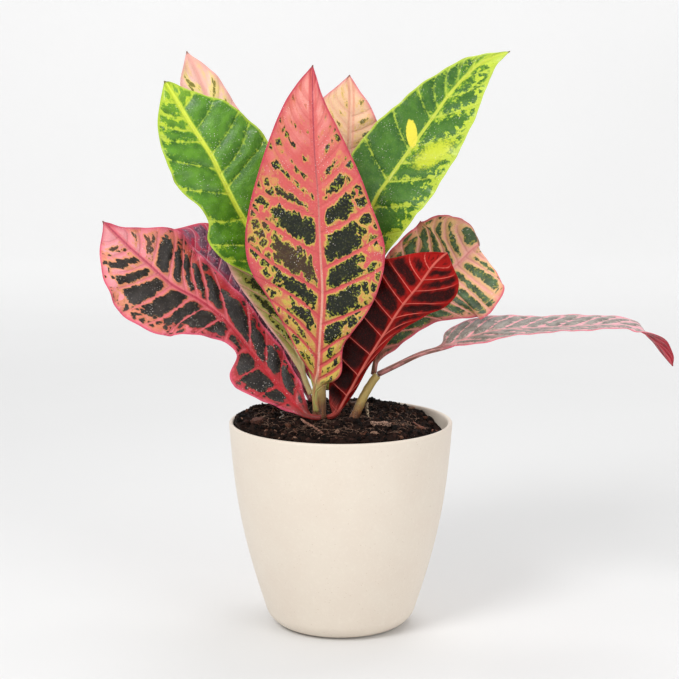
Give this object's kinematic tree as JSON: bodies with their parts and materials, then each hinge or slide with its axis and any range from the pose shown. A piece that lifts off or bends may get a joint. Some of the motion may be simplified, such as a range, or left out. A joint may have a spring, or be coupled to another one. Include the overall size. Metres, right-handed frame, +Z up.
{
  "type": "potted croton",
  "caption": "Young croton with broad patterned leaves on short stems, in a tapered plain pot filled with soil.",
  "frame": {"origin": "centre of the pot's flat underside, on the surface it stands on", "axes": "+Z up along the pot's axis; the plant's face looks along -Y and its long arched leaf points to +X"},
  "size_m": [0.3144, 0.1796, 0.3204],
  "materials": {
    "pot": "cream plant fibre, matt with a soft sheen and fine speckles",
    "soil": "dark crumbly potting mix",
    "stem_main": "green-brown, matt",
    "stem_side": "green-brown, matt",
    "leaf_front_pink": "glossy, coral pink with dark green blotches",
    "leaf_upper_left_green": "glossy, green with yellow veins",
    "leaf_upper_right_green": "glossy, green and lime with yellow patches",
    "leaf_back_left_pale": "glossy, pale pink tip, olive and cream below",
    "leaf_back_right_pale": "glossy, peach with green blotches",
    "leaf_left_red": "glossy, near-black green blotches between red veins",
    "leaf_left_behind": "glossy, mauve with pink veins",
    "leaf_right_crimson": "glossy underside, crimson with maroon cells and pale raised veins",
    "leaf_right_striped": "glossy, pink and peach bands with dark green stripes",
    "leaf_far_right_arched": "glossy, grey-green herringbone on pink",
    "leaf_back_low": "glossy, red with dark green blotches",
    "leaf_back_high": "glossy, olive with yellow veins",
    "young_leaf": "glossy, folded yellow-green",
    "twig_front": "dry, matt",
    "twig_right": "dry, matt",
    "root_left": "dry, matt",
    "dry_sheath": "dry, matt",
    "bark_chip_right": "dry, matt",
    "bark_chip_left": "dry, matt",
    "bark_chip_back": "dry, matt"
  },
  "bodies": {
    "root": {"pot": "pot", "soil": "soil", "stem_main": "stem_main", "stem_side": "stem_side", "leaf_front_pink": "leaf_front_pink", "leaf_upper_left_green": "leaf_upper_left_green", "leaf_upper_right_green": "leaf_upper_right_green", "leaf_back_left_pale": "leaf_back_left_pale", "leaf_back_right_pale": "leaf_back_right_pale", "leaf_left_red": "leaf_left_red", "leaf_left_behind": "leaf_left_behind", "leaf_right_crimson": "leaf_right_crimson", "leaf_right_striped": "leaf_right_striped", "leaf_far_right_arched": "leaf_far_right_arched", "leaf_back_low": "leaf_back_low", "leaf_back_high": "leaf_back_high", "young_leaf": "young_leaf", "twig_front": "twig_front", "twig_right": "twig_right", "root_left": "root_left", "dry_sheath": "dry_sheath", "bark_chip_right": "bark_chip_right", "bark_chip_left": "bark_chip_left", "bark_chip_back": "bark_chip_back"}
  },
  "joints": []
}
